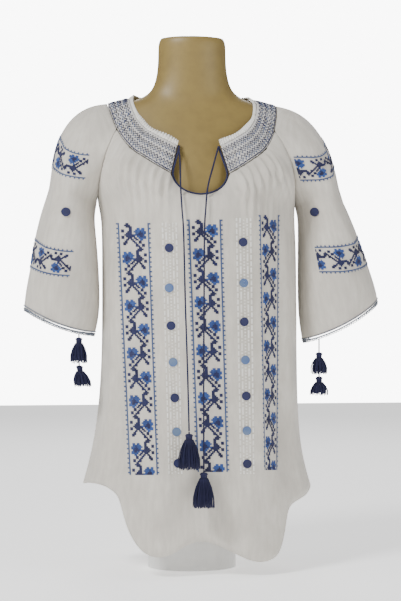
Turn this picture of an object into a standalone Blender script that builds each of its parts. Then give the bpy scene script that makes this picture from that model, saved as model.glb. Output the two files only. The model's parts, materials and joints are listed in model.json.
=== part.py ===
"""Peasant blouse with raglan sleeves, gathered into a smocked neck, worn by a limbless dress form."""

import math
from collections import namedtuple

import bmesh
import bpy
from mathutils import Vector
from mathutils.bvhtree import BVHTree
from mathutils.kdtree import KDTree

MM = 0.001
WALL = 1.2 * MM  # gauze, drawn at the thinnest wall that still stands
BAND_WALL = 1.5 * MM
SEAM_GAP = 0.4 * MM  # between two sewn pieces
REST_GAP = 0.8 * MM  # between the cloth and the form it rests on
NORMAL_REACH = 5  # the cloth thickens along a direction evened over this distance

FORM_SIDES = 28
FRONT_COLUMNS = 50
BACK_COLUMNS = 42
SLEEVE_COLUMNS = 30
UPPER_ROWS = (0.0, 0.1, 0.28, 0.52, 0.76, 1.0)  # from the neck seam to the armpit
LOWER_ROWS = (0.05, 0.14, 0.28, 0.45, 0.62, 0.8, 0.92, 1.0)  # from the armpit to the hem

Level = namedtuple("Level", "height left right front back")
Station = namedtuple("Station", "top_x top_y top_z low_x low_y low_z")
SleeveRow = namedtuple("SleeveRow", "outer_x outer_z inner_x inner_z half_depth roundness droop")
HemPoint = namedtuple("HemPoint", "angle height")
Fold = namedtuple("Fold", "angle width depth")
Tier = namedtuple("Tier", "head ends radius")
CuffTassel = namedtuple("CuffTassel", "cuff share tiers")

# The form, from its flat underside to the top of the neck, in millimetres
FORM_LEVELS = (
    Level(62, 90, 90, 70, 66),
    Level(72, 97, 97, 77, 75),
    Level(92, 104, 104, 81, 80),
    Level(135, 115, 115, 84, 84),
    Level(200, 122, 122, 82, 84),
    Level(280, 110, 110, 72, 70),
    Level(340, 102, 102, 68, 62),
    Level(400, 108, 108, 78, 66),
    Level(460, 119, 119, 98, 73),
    Level(505, 125, 125, 107, 78),
    Level(545, 129, 129, 101, 80),
    Level(590, 142, 142, 88, 80),
    Level(630, 153, 153, 72, 78),
    Level(656, 152, 152, 58, 70),
    Level(674, 140, 140, 48, 63),
    Level(686, 119, 119, 42, 59),
    Level(694, 96, 96, 39, 58),
    Level(702, 72, 72, 38, 58),
    Level(715, 58, 58, 38, 58),
    Level(740, 52, 52, 37, 58),
    Level(766, 51, 51, 38, 59),
    Level(784, 51, 51, 39, 60),
    Level(790, 47, 47, 35, 56),
)
BASE_HEIGHT = 61.7
BASE_HALF_WIDTH = 66
BASE_HALF_DEPTH = 52

# The blouse's body, by height, from below the hem to the armpit
BODY_LEVELS = (
    Level(0, 168, 181, 116, 112),
    Level(60, 168, 181, 116, 111),
    Level(123, 163, 178, 116, 109),
    Level(155, 154, 168, 115, 106),
    Level(190, 146, 161, 114, 103),
    Level(240, 138, 158, 113, 99),
    Level(330, 134, 157, 113, 94),
    Level(460, 134, 155, 121, 90),
    Level(505, 134, 153, 122, 90),
    Level(522, 135, 152, 121, 90),
    Level(545, 141, 154, 117, 90),
)
ARMPIT_HEIGHT = 545

# The neck band on one side, from the keyhole's corner round to the centre back
NECK_STATIONS = (
    Station(31, -82, 624, 43, -97, 581),
    Station(54, -75, 636, 74, -91, 600),
    Station(74, -61, 649, 100, -74, 620),
    Station(88, -40, 669, 117, -48, 649),
    Station(93, 0, 697, 127, 0, 690),
    Station(83, 38, 702, 112, 52, 671),
    Station(50, 64, 697, 64, 86, 656),
    Station(0, 70, 695, 0, 96, 650),
)
FRONT_RAGLAN = 3  # the stations where the raglan seams meet the band
BACK_RAGLAN = 5
RAGLAN_FRONT_PULL = (148, -98, 598)  # what each raglan seam bends towards
RAGLAN_BACK_PULL = (146, 88, 606)
KEYHOLE_DEPTH = 32
KEYHOLE_HALF_WIDTH = 42
KEYHOLE_SHARE = 0.28  # of the front's top edge
BAND_ROWS = 3
SMOCK_RIDGES = 72
SMOCK_HEIGHT = 1.3

# Each sleeve's sections from the armpit to the cuff; a low roundness draws it to a point under the arm
SLEEVES = {
    "left": (
        SleeveRow(-211, 566, -141, 545, 56, 1.2, 0),
        SleeveRow(-217, 545, -147, 522, 57, 1.6, 0),
        SleeveRow(-231, 492, -143, 474, 60, 2, 1),
        SleeveRow(-246, 421, -139, 392, 62, 2, 4),
        SleeveRow(-250, 389, -146, 351, 50, 2, 8),
    ),
    "right": (
        SleeveRow(217, 568, 154, 545, 56, 1.2, 0),
        SleeveRow(227, 546, 162, 522, 57, 1.6, 0),
        SleeveRow(248, 496, 163, 474, 60, 2, 1),
        SleeveRow(275, 428, 163, 384, 62, 2, 3),
        SleeveRow(282, 400, 169, 340, 50, 2, 6),
    ),
}
SLEEVE_STEPS = (0.5, 1.0, 1.5, 2.0, 2.5, 3.0, 3.5, 4.0)  # the rows of points between the sections
SHOULDER_ROUND = {"left": 31, "right": 27}  # how far each sleeve head stands off a straight line
SHOULDER_SKEW = 0.75
BEND_FADE = 4  # how fast a seam's bend dies out across its panel

FRONT_HEM = (
    HemPoint(-90, 125),
    HemPoint(-75, 128),
    HemPoint(-62, 128),
    HemPoint(-54, 124),
    HemPoint(-47, 113),
    HemPoint(-43, 93),
    HemPoint(-39, 73),
    HemPoint(-35, 56),
    HemPoint(-30.5, 43),
    HemPoint(-26, 36),
    HemPoint(-20, 33.5),
    HemPoint(-14, 38),
    HemPoint(-7, 48.5),
    HemPoint(-1, 52.5),
    HemPoint(5.5, 49.5),
    HemPoint(13.5, 40),
    HemPoint(21.5, 28.5),
    HemPoint(27, 24.5),
    HemPoint(33, 26),
    HemPoint(38, 32),
    HemPoint(41.8, 44),
    HemPoint(44, 64),
    HemPoint(45.4, 84),
    HemPoint(50.5, 95),
    HemPoint(65, 106),
    HemPoint(78, 117),
    HemPoint(90, 122),
)
BACK_HEM = (
    HemPoint(90, 122),
    HemPoint(112, 120),
    HemPoint(123, 113),
    HemPoint(131, 98),
    HemPoint(138, 74),
    HemPoint(146, 54),
    HemPoint(156, 44),
    HemPoint(168, 42),
    HemPoint(180, 52),
    HemPoint(191, 43),
    HemPoint(201, 45),
    HemPoint(209, 66),
    HemPoint(216, 92),
    HemPoint(225, 116),
    HemPoint(238, 126),
    HemPoint(270, 125),
)
SKIRT_FOLDS = (
    Fold(-50, 9, -8),
    Fold(-28, 13, 6),
    Fold(1, 12, -9),
    Fold(32, 13, 6),
    Fold(55, 8, -8),
    Fold(126, 9, -7),
    Fold(152, 12, 5),
    Fold(184, 12, -8),
    Fold(210, 12, 6),
    Fold(235, 9, -7),
)
FOLD_TOP = 330  # folds start here and deepen towards the hem

GATHERS_PER_FRONT_SIDE = 6
BACK_GATHERS = 14
SLEEVE_GATHERS = 10
GATHER_DEPTH = 5.5
GATHER_REACH = 1.3  # they fade out this far down, counted from the neck seam at 0 to the armpit at 1
GATHER_AT_SEAM = 1.0

EDGING_RADIUS = 1.7
CUFF_EDGING_RADIUS = 2.0
TIE_RADIUS = 1.3

# Each tie's route from the corner of the keyhole to its tassel
TIES = {
    "left": (
        (-30, -86.2, 621.5),
        (-30, -104, 596),
        (-31, -119, 562),
        (-30, -127, 530),
        (-28, -130, 495),
        (-26, -133, 400),
        (-23, -135, 300),
        (-21, -137, 213),
    ),
    "right": (
        (28.2, -86, 621.5),
        (18, -104, 592),
        (8, -120, 560),
        (4, -128, 528),
        (2, -130, 495),
        (1, -133, 400),
        (0, -136, 280),
        (0, -138, 158),
    ),
}
TIE_POINTS = 34
# A tassel's tiers, by how far below its top each head starts and each strand ends
TIE_TASSEL = (Tier(3, 55, 18),)
CUFF_TASSELS = (
    CuffTassel("left", 0.165, (Tier(5, 44, 15), Tier(46, 79, 15))),
    CuffTassel("right", 0.128, (Tier(20, 54, 15), Tier(56, 85, 16))),
)
TASSEL_SIDES = 8
TASSEL_CORD = 1.3
TASSEL_GAP = 0.8

COLOURS = {
    "form": ((0.36, 0.27, 0.13), 0.45),
    "base": ((0.82, 0.82, 0.80), 0.5),
    "gauze": ((0.80, 0.78, 0.73), 0.85),
    "smocking": ((0.62, 0.62, 0.68), 0.9),
    "navy": ((0.012, 0.013, 0.06), 0.7),
    "edging": ((0.30, 0.32, 0.36), 0.85),
}


def clear_scene():
    for obj in list(bpy.data.objects):
        bpy.data.objects.remove(obj)


def make_material(name):
    colour, roughness = COLOURS[name]
    material = bpy.data.materials.new(name)
    material.use_nodes = True
    shader = material.node_tree.nodes["Principled BSDF"]
    shader.inputs["Base Color"].default_value = (*colour, 1.0)
    shader.inputs["Roughness"].default_value = roughness
    shader.inputs["Metallic"].default_value = 0.0
    return material


def add_object(name, data, collection, material):
    obj = bpy.data.objects.new(name, data)
    obj.data.materials.append(make_material(material))
    collection.objects.link(obj)
    return obj


def add_mesh(name, bm, collection, material):
    bmesh.ops.recalc_face_normals(bm, faces=bm.faces)
    mesh = bpy.data.meshes.new(name)
    bm.to_mesh(mesh)
    bm.free()
    mesh.shade_smooth()
    mesh.set_sharp_from_angle(angle=math.radians(50))
    return add_object(name, mesh, collection, material)


def spline(points, position):
    """A smooth curve through the points; position 1.5 is half way from the second to the third."""
    last = len(points) - 1
    index = min(max(int(position), 0), last - 1)
    t = position - index
    before = points[max(index - 1, 0)]
    start, end = points[index], points[index + 1]
    after = points[min(index + 2, last)]
    return tuple(
        0.5 * (2 * b + (c - a) * t + (2 * a - 5 * b + 4 * c - d) * t * t + (3 * b - a - 3 * c + d) * t**3)
        for a, b, c, d in zip(before, start, end, after)
    )


def at_height(levels, height):
    """The level at a height, between the two rows of the table round it."""
    for index, upper in enumerate(levels[1:]):
        lower = levels[index]
        if height <= upper.height:
            break
    share = (height - lower.height) / (upper.height - lower.height)
    return Level(*spline(levels, index + min(max(share, 0.0), 1.0)))


def on_level(level, degrees):
    """A point of the level's outline. 0 degrees is the centre front and 90 degrees the +X side."""
    sine, cosine = math.sin(math.radians(degrees)), math.cos(math.radians(degrees))
    side = level.right if sine > 0 else level.left
    reach = level.front if cosine > 0 else level.back
    return Vector((side * sine, -reach * cosine, level.height)) * MM


def make_form(collection):
    bm = bmesh.new()
    rings = []
    for level in FORM_LEVELS:
        spots = [on_level(level, 360 * side / FORM_SIDES) for side in range(FORM_SIDES)]
        rings.append([bm.verts.new(spot) for spot in spots])
    for lower, upper in zip(rings, rings[1:]):
        for side in range(FORM_SIDES):
            after = (side + 1) % FORM_SIDES
            bm.faces.new((lower[side], lower[after], upper[after], upper[side]))
    bm.faces.new(rings[0])
    bm.faces.new(rings[-1])
    return add_mesh("dress_form", bm, collection, "form")


def make_base(collection):
    bm = bmesh.new()
    bmesh.ops.create_cone(bm, cap_ends=True, segments=FORM_SIDES, radius1=1, radius2=1, depth=1)
    bmesh.ops.translate(bm, verts=bm.verts, vec=(0, 0, 0.5))
    size = Vector((BASE_HALF_WIDTH, BASE_HALF_DEPTH, BASE_HEIGHT)) * MM
    bmesh.ops.scale(bm, verts=bm.verts, vec=size)
    return add_mesh("form_base", bm, collection, "base")


class Garment:
    """Keeps the cloth off the form, and gives every piece the same outward direction at a seam."""

    def __init__(self, form):
        mesh = form.data
        self.form = BVHTree.FromPolygons([v.co for v in mesh.vertices], [p.vertices for p in mesh.polygons])
        self.tree = None
        self.normals = []

    def settle(self, point, gap=REST_GAP):
        spot, normal, _, _ = self.form.find_nearest(point)
        return spot + normal * gap if (point - spot).dot(normal) < gap else point

    def join(self, panels):
        """Welds copies of all the panels, and keeps the outward direction at each of their points."""
        bm = bmesh.new()
        for rows in panels.values():
            fill_grid(bm, rows)
        bmesh.ops.remove_doubles(bm, verts=bm.verts, dist=0.05 * MM)
        bmesh.ops.recalc_face_normals(bm, faces=bm.faces)
        bm.normal_update()
        self.tree = KDTree(len(bm.verts))
        for index, vert in enumerate(bm.verts):
            self.tree.insert(vert.co, index)
            self.normals.append(vert.normal.copy())
        self.tree.balance()
        bm.free()
        spot = panels["front"][-1][FRONT_COLUMNS // 2]
        if self.outward(spot).y > 0:
            self.normals = [-normal for normal in self.normals]

    def outward(self, point):
        """The cloth's direction out, evened over the points close by that face the same way."""
        nearest = self.normals[self.tree.find(point)[1]]
        close = [self.normals[index] for _, index, _ in self.tree.find_range(point, NORMAL_REACH * MM)]
        return sum((normal for normal in close if normal.dot(nearest) > 0.3), nearest.copy()).normalized()


def fill_grid(bm, rows):
    """Lays a grid of faces over rows of points."""
    across, down = len(rows[0]) - 1, len(rows) - 1
    made = bmesh.ops.create_grid(bm, x_segments=across, y_segments=down, size=1)["verts"]
    for vert in made:
        column = round((vert.co.x + 1) / 2 * across)
        row = round((vert.co.y + 1) / 2 * down)
        vert.co = rows[row][column]
    return made


def pull_back(bm, distance):
    """Moves the open edges inwards, so that a neighbour's edge stays clear."""
    moves = {}
    for edge in bm.edges:
        if not edge.is_boundary:
            continue
        along = (edge.verts[1].co - edge.verts[0].co).normalized()
        inward = edge.link_faces[0].calc_center_median() - edge.verts[0].co
        inward -= along * inward.dot(along)
        for vert in edge.verts:
            moves[vert] = moves.get(vert, Vector()) + inward.normalized()
    for vert, move in moves.items():
        vert.co += move.normalized() * distance


def make_wall(name, rows, garment, collection, material, wall=WALL, relief=None):
    """A cloth wall on rows of points: its inside follows them, and its outside is moved out."""
    bm = bmesh.new()
    fill_grid(bm, rows)
    bmesh.ops.remove_doubles(bm, verts=bm.verts, dist=0.05 * MM)
    outward = {vert: garment.outward(vert.co) for vert in bm.verts}
    raised = {vert: relief(vert.co) if relief else 0.0 for vert in bm.verts}
    pull_back(bm, SEAM_GAP / 2)
    pairs = {vert: vert.co + outward[vert] * (wall + raised[vert]) for vert in bm.verts}
    original = list(bm.verts)
    made = bmesh.ops.extrude_face_region(bm, geom=bm.faces[:], use_keep_orig=True)["geom"]
    copies = KDTree(len(original))
    for index, vert in enumerate(original):
        copies.insert(vert.co, index)
    copies.balance()
    for item in made:
        if isinstance(item, bmesh.types.BMVert):
            item.co = pairs[original[copies.find(item.co)[1]]]
    return add_mesh(name, bm, collection, material)


def neck_point(side, position, low):
    """A point of the neck band's top or lower edge."""
    station = Station(*spline(NECK_STATIONS, position))
    x, y, z = station[3:] if low else station[:3]
    return Vector((side * x, y, z)) * MM


def armpit(side):
    return on_level(at_height(BODY_LEVELS, ARMPIT_HEIGHT), 90 * side)


def raglan(side, share, front):
    """A point of a raglan seam, from the neck band at 0 to the armpit at 1."""
    start = neck_point(side, FRONT_RAGLAN if front else BACK_RAGLAN, low=True)
    x, y, z = RAGLAN_FRONT_PULL if front else RAGLAN_BACK_PULL
    pull = Vector((side * x, y, z)) * MM
    return start * (1 - share) ** 2 + pull * 2 * share * (1 - share) + armpit(side) * share**2


def patch(top, bottom, left, right, across, down):
    """A point of the cloth between four edges; the side edges' bends fade out towards the middle."""
    straight = top(across).lerp(bottom(across), down)
    bend_left = left(down) - top(0).lerp(bottom(0), down)
    bend_right = right(down) - top(1).lerp(bottom(1), down)
    return straight + bend_left * (1 - across) ** BEND_FADE + bend_right * across**BEND_FADE


def front_top(across):
    """The front's top edge: under the band, round the keyhole, and under the band again."""
    place = 2 * across - 1
    side = 1 if place > 0 else -1
    if abs(place) < KEYHOLE_SHARE:
        turn = math.pi / 2 * place / KEYHOLE_SHARE
        corner = neck_point(side, 0, low=True)
        drop = KEYHOLE_DEPTH * math.cos(turn)
        return Vector((KEYHOLE_HALF_WIDTH * math.sin(turn) * MM, corner.y - 0.3 * drop * MM, corner.z - drop * MM))
    share = (abs(place) - KEYHOLE_SHARE) / (1 - KEYHOLE_SHARE)
    return neck_point(side, share * FRONT_RAGLAN, low=True)


def back_top(across):
    """The back's top edge, from the +X side round to the -X side."""
    place = 2 * across - 1
    side = -1 if place > 0 else 1
    centre = len(NECK_STATIONS) - 1
    return neck_point(side, centre - abs(place) * (centre - BACK_RAGLAN), low=True)


def hem_height(points, degrees):
    for index, after in enumerate(points[1:]):
        before = points[index]
        if degrees <= after.angle:
            break
    share = min(max((degrees - before.angle) / (after.angle - before.angle), 0.0), 1.0)
    return spline(points, index + share)[1]


def fold_depth(degrees, height):
    """How far the skirt's folds move the cloth out at an angle and a height."""
    fade = min(max((FOLD_TOP - height) / FOLD_TOP, 0.0), 1.0)
    waves = (fold.depth * math.exp(-(((degrees - fold.angle) / fold.width) ** 2)) for fold in SKIRT_FOLDS)
    return sum(waves) * fade * MM


def gather_depth(place, count, down):
    """Gathers start small at the neck seam, swell below it, and fade out."""
    fade = min(down / GATHER_REACH, 1.0)
    ridge = 0.5 - 0.5 * math.cos(2 * math.pi * count * place)
    uneven = 0.75 + 0.25 * math.sin(11 * place + 1)
    swell = GATHER_AT_SEAM * (1 - fade) + GATHER_DEPTH * math.sin(math.pi * fade**0.6)
    return ridge * uneven * swell * MM


def body_point(degrees, height):
    spot = on_level(at_height(BODY_LEVELS, height), degrees)
    out = Vector((math.sin(math.radians(degrees)), -math.cos(math.radians(degrees)), 0))
    return spot + out * fold_depth(degrees, height)


def body_panel(garment, columns, first_angle, top, seams, hem, gathers):
    """Rows of points for the front or the back, from its neck seam to its hem."""

    def under(across):
        return body_point(first_angle + 180 * across, ARMPIT_HEIGHT)

    facing = Vector((0, -1 if first_angle < 0 else 1, 0))
    rows = []
    for down in UPPER_ROWS:
        row = []
        for column in range(columns + 1):
            across = column / columns
            spot = patch(top, under, seams[0], seams[1], across, down)
            if 0 < column < columns:
                spot += facing * gathers(across, down)
            row.append(garment.settle(spot))
        rows.append(row)
    for down in LOWER_ROWS:
        row = []
        for column in range(columns + 1):
            across = column / columns
            degrees = first_angle + 180 * across
            drop = (ARMPIT_HEIGHT - hem_height(hem, degrees)) * down
            spot = body_point(degrees, ARMPIT_HEIGHT - drop)
            spot += facing * gathers(across, 1 + down) * math.sin(math.pi * across)
            row.append(garment.settle(spot))
        rows.append(row)
    return rows


def front_gathers(across, down):
    place = (abs(2 * across - 1) - KEYHOLE_SHARE) / (1 - KEYHOLE_SHARE)
    return gather_depth(place, GATHERS_PER_FRONT_SIDE, down) if place > 0 else 0.0


def back_gathers(across, down):
    return gather_depth(across, BACK_GATHERS, down)


def sleeve_ring(row, share):
    """A point of a sleeve's section: 0 and 1 are under the arm, a quarter is the front, a half the outside."""
    turn = 2 * math.pi * share
    outer = abs(math.sin(turn / 2)) ** row.roundness
    x = row.inner_x + (row.outer_x - row.inner_x) * outer
    z = row.inner_z + (row.outer_z - row.inner_z) * outer
    return Vector((x, -row.half_depth * math.sin(turn), z - row.droop * math.sin(turn) ** 2)) * MM


def sleeve_top(side, across):
    return neck_point(side, FRONT_RAGLAN + across * (BACK_RAGLAN - FRONT_RAGLAN), low=True)


def sleeve_panel(garment, name):
    """Rows of points for a sleeve, from its neck seam over the shoulder to its cuff."""
    side = -1 if name == "left" else 1
    sections = SLEEVES[name]
    rows = []
    for down in UPPER_ROWS:
        row = []
        for column in range(SLEEVE_COLUMNS + 1):
            across = column / SLEEVE_COLUMNS
            spot = patch(
                lambda a: sleeve_top(side, a),
                lambda a: sleeve_ring(sections[0], a),
                lambda d: raglan(side, d, front=True),
                lambda d: raglan(side, d, front=False),
                across,
                down,
            )
            turn = math.pi * across
            out = Vector((side * 0.83 * math.sin(turn), -0.35 * math.cos(turn), 0.55 * math.sin(turn)))
            bulge = SHOULDER_ROUND[name] * math.sin(turn) * math.sin(math.pi * down**SHOULDER_SKEW)
            spot += out * bulge * MM
            if 0 < column < SLEEVE_COLUMNS:
                spot += out * gather_depth(across, SLEEVE_GATHERS, down)
            row.append(garment.settle(spot))
        rows.append(row)
    for step in SLEEVE_STEPS:
        section = SleeveRow(*spline(sections, step))
        rows.append([sleeve_ring(section, column / SLEEVE_COLUMNS) for column in range(SLEEVE_COLUMNS + 1)])
    return rows


def band_panel(garment):
    """Rows of points for the neck band, from one corner of the keyhole round the neck to the other."""
    half = len(NECK_STATIONS) - 1
    columns = 2 * SMOCK_RIDGES
    rows = []
    for step in range(BAND_ROWS + 1):
        share = step / BAND_ROWS
        row = []
        for column in range(columns + 1):
            place = 2 * half * column / columns
            side = 1 if place <= half else -1
            position = place if place <= half else 2 * half - place
            top = neck_point(side, position, low=False)
            low = neck_point(side, position, low=True)
            row.append(garment.settle(top.lerp(low, share)))
        rows.append(row)
    return rows


def smock_relief(rows):
    """Every second column of the band's outside stands up as a ridge."""
    tree = KDTree(len(rows) * len(rows[0]))
    for row in rows:
        for column, spot in enumerate(row):
            tree.insert(spot, column)
    tree.balance()
    return lambda spot: (tree.find(spot)[1] % 2) * SMOCK_HEIGHT * MM


def make_tube(name, points, radius, collection, material, sides=2, closed=False):
    curve = bpy.data.curves.new(name, "CURVE")
    curve.dimensions = "3D"
    curve.bevel_depth = radius * MM
    curve.bevel_resolution = sides
    curve.use_fill_caps = not closed
    line = curve.splines.new("POLY")
    line.points.add(len(points) - 1)
    for point, spot in zip(line.points, points):
        point.co = (*spot, 1.0)
    line.use_cyclic_u = closed
    return add_object(name, curve, collection, material)


def make_keyhole_edging(garment, collection):
    """A crocheted edge that lines the keyhole, from one corner of the band down and up to the other."""
    offset = EDGING_RADIUS + 1.2
    middle = Vector((0, -88, 606)) * MM
    border = [neck_point(-1, 0, low=False).lerp(neck_point(-1, 0, low=True), step / 5) for step in range(5)]
    first = 0.5 - KEYHOLE_SHARE / 2
    border += [front_top(first + KEYHOLE_SHARE * step / 16) for step in range(17)]
    border += [Vector((-spot.x, spot.y, spot.z)) for spot in reversed(border[:5])]
    line = []
    for spot in border:
        inward = (middle - spot).normalized() * offset * MM
        line.append(garment.settle(spot + inward, (EDGING_RADIUS + 0.6) * MM))
    return make_tube("keyhole_edging", line, EDGING_RADIUS, collection, "navy", sides=1)


def cuff_edge(name, share):
    """A point of the edging's middle line, just below the cuff's last row."""
    last = SLEEVES[name][-1]
    before = SleeveRow(*spline(SLEEVES[name], len(SLEEVES[name]) - 1.5))
    spot, above = sleeve_ring(last, share), sleeve_ring(before, share)
    return spot + (spot - above).normalized() * (CUFF_EDGING_RADIUS + 0.3) * MM


def make_cuff_edging(name, collection):
    line = [cuff_edge(name, column / SLEEVE_COLUMNS) for column in range(SLEEVE_COLUMNS)]
    name += "_cuff_edging"
    return make_tube(name, line, CUFF_EDGING_RADIUS, collection, "edging", sides=1, closed=True)


def make_tie(name, collection):
    route = TIES[name]
    last = len(route) - 1
    line = [Vector(spline(route, last * step / TIE_POINTS)) * MM for step in range(TIE_POINTS + 1)]
    return make_tube("tie_" + name, line, TIE_RADIUS, collection, "navy")


def draw_out(bm, face, radius, depth):
    """Extrudes the face down to a depth and resizes it to a radius."""
    moved = bmesh.ops.extrude_face_region(bm, geom=[face])["geom"]
    bmesh.ops.delete(bm, geom=[face], context="FACES_ONLY")
    face = next(item for item in moved if isinstance(item, bmesh.types.BMFace))
    for vert in face.verts:
        flat = Vector((vert.co.x, vert.co.y, 0)).normalized() * radius
        vert.co = Vector((flat.x, flat.y, -depth)) * MM
    return face


def draw_strands(bm, roots, spread, depth):
    """Draws a strand out of each root, and ends it at a depth."""
    bmesh.ops.inset_individual(bm, faces=roots, thickness=0.16 * MM)
    ends = bmesh.ops.extrude_discrete_faces(bm, faces=roots)["faces"]
    for index, end in enumerate(ends):
        centre = end.calc_center_median()
        shorter = 0.03 * (1 - math.sin(2.4 * index))
        target = Vector((centre.x * spread, centre.y * spread, -depth * (1 - shorter) * MM))
        for vert in end.verts:
            vert.co = target + (vert.co - centre) * 1.6


def make_tassel(name, top, tiers, collection):
    """A cord with one or two bound heads on it, and strands drawn out of each head's underside."""
    bm = bmesh.new()
    bmesh.ops.create_circle(bm, cap_ends=True, segments=TASSEL_SIDES, radius=TASSEL_CORD * MM)
    face = bm.faces[:][0]
    for tier in tiers:
        head = 0.16 * tier.radius + 3.0
        face = draw_out(bm, face, TASSEL_CORD, tier.head)
        for radius, drop in ((head, 2), (head * 0.8, 5), (head * 1.25, 10)):
            face = draw_out(bm, face, radius, tier.head + drop)
        outer_roots = bmesh.ops.inset_region(bm, faces=[face], thickness=head * 0.5 * MM)["faces"]
        inner_roots = bmesh.ops.inset_region(bm, faces=[face], thickness=head * 0.4 * MM)["faces"]
        draw_strands(bm, outer_roots + inner_roots, 0.78 * tier.radius / (head * 1.25), tier.ends)
    bmesh.ops.contextual_create(bm, geom=[edge for edge in bm.edges if edge.is_boundary])
    bmesh.ops.translate(bm, verts=bm.verts, vec=top - Vector((0, 0, TASSEL_GAP * MM)))
    return add_mesh(name, bm, collection, "navy")


def make_blouse(collection, garment):
    panels = {
        "front": body_panel(
            garment,
            FRONT_COLUMNS,
            -90,
            front_top,
            (lambda d: raglan(-1, d, front=True), lambda d: raglan(1, d, front=True)),
            FRONT_HEM,
            front_gathers,
        ),
        "back": body_panel(
            garment,
            BACK_COLUMNS,
            90,
            back_top,
            (lambda d: raglan(1, d, front=False), lambda d: raglan(-1, d, front=False)),
            BACK_HEM,
            back_gathers,
        ),
        "left": sleeve_panel(garment, "left"),
        "right": sleeve_panel(garment, "right"),
        "band": band_panel(garment),
    }
    garment.join(panels)
    make_wall("front_panel", panels["front"], garment, collection, "gauze")
    make_wall("back_panel", panels["back"], garment, collection, "gauze")
    make_wall("left_sleeve", panels["left"], garment, collection, "gauze")
    make_wall("right_sleeve", panels["right"], garment, collection, "gauze")
    relief = smock_relief(panels["band"])
    make_wall("neck_band", panels["band"], garment, collection, "smocking", BAND_WALL, relief)
    make_keyhole_edging(garment, collection)
    for name in ("left", "right"):
        make_cuff_edging(name, collection)
        make_tie(name, collection)
        end = Vector(TIES[name][-1]) * MM
        make_tassel("tie_tassel_" + name, end, TIE_TASSEL, collection)
    for tassel in CUFF_TASSELS:
        hung = cuff_edge(tassel.cuff, tassel.share) - Vector((0, 0, CUFF_EDGING_RADIUS * MM))
        make_tassel(tassel.cuff + "_cuff_tassels", hung, tassel.tiers, collection)


def main():
    clear_scene()
    collection = bpy.data.collections.new("peasant_blouse")
    bpy.context.scene.collection.children.link(collection)
    form = make_form(collection)
    make_base(collection)
    make_blouse(collection, Garment(form))


main()
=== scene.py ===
import json
import math
import random

import bmesh
import bpy
import numpy as np
from mathutils import Matrix, Vector
from mathutils.bvhtree import BVHTree

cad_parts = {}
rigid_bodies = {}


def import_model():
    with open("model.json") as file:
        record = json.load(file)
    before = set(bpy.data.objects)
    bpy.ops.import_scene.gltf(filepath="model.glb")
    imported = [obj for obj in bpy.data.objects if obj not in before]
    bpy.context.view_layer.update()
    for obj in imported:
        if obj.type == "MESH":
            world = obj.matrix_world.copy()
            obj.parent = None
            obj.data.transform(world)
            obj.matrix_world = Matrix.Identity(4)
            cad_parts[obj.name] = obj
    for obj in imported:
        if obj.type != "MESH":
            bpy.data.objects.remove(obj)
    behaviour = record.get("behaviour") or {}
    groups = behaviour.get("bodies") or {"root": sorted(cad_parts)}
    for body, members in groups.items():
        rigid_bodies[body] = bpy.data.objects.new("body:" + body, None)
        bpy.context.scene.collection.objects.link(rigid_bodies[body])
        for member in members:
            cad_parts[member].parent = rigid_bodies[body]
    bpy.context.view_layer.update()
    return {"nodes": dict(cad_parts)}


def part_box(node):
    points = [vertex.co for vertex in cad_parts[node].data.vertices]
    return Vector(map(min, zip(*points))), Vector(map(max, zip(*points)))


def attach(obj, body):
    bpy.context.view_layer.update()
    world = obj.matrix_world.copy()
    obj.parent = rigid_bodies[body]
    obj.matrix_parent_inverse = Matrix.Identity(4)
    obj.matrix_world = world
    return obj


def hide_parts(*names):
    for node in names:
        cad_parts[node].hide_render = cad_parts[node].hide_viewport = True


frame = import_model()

mm = 0.001
dice = random.Random(11)


def metres(*point):
    return Vector(point) * mm


def mix(a, b, share):
    return a + (b - a) * share


# Where the photograph was taken from, and how its pixels lie on the object
picture = {
    "azimuth": 7.0,  # degrees round from the front
    "distance": 2.6,
    "height": 0.4,
    "pixel": 0.0015,
    "middleX": 192.0,  # the object's middle, in pixels
    "floorY": 566.0,
    "wide": 401,
    "high": 601,
    "sensor": 24,  # millimetres
}


def pictureAxes():
    turn = math.radians(picture["azimuth"])
    away = Vector((-math.sin(turn), -math.cos(turn), 0))
    across = Vector((math.cos(turn), -math.sin(turn), 0))
    eye = away * picture["distance"] + Vector((0, 0, picture["height"]))
    return eye, away, across


def pictureRay(px, py):
    eye, _, across = pictureAxes()
    spot = across * (px - picture["middleX"]) * picture["pixel"]
    spot.z = (picture["floorY"] - py) * picture["pixel"]
    return eye, (spot - eye).normalized()


def addCamera():
    eye, away, _ = pictureAxes()
    lens = bpy.data.cameras.new("pictureCamera")
    lens.sensor_fit = "VERTICAL"
    lens.sensor_height = picture["sensor"]
    lens.lens = picture["sensor"] * picture["distance"] / (picture["high"] * picture["pixel"])
    lens.shift_x = (picture["wide"] / 2 - picture["middleX"]) / picture["high"]
    middleZ = (picture["floorY"] - picture["high"] / 2) * picture["pixel"]
    lens.shift_y = (middleZ - picture["height"]) / (picture["high"] * picture["pixel"])
    stand = bpy.data.objects.new("pictureCamera", lens)
    stand.location = eye
    stand.rotation_euler = (-away).to_track_quat("-Z", "Y").to_euler()
    bpy.context.collection.objects.link(stand)
    bpy.context.scene.camera = stand


addCamera()
print("camera set")

# The ties: how they are twisted, and their routes in millimetres, as in the CAD
ties = {
    "diameter": 0.0026,
    "strands": 3,
    "pitch": 7,  # millimetres to a turn of the twist
    "valley": 0.72,  # how deep the grooves between a cord's strands are
    "steps": 34,
    "left": [(-30, -86.2, 621.5), (-30, -104, 596), (-31, -119, 562), (-30, -127, 530),
             (-28, -130, 495), (-26, -133, 400), (-23, -135, 300), (-21, -137, 213)],
    "right": [(28.2, -86, 621.5), (18, -104, 592), (8, -120, 560), (4, -128, 528),
              (2, -130, 495), (1, -133, 400), (0, -136, 280), (0, -138, 158)],
}

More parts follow.
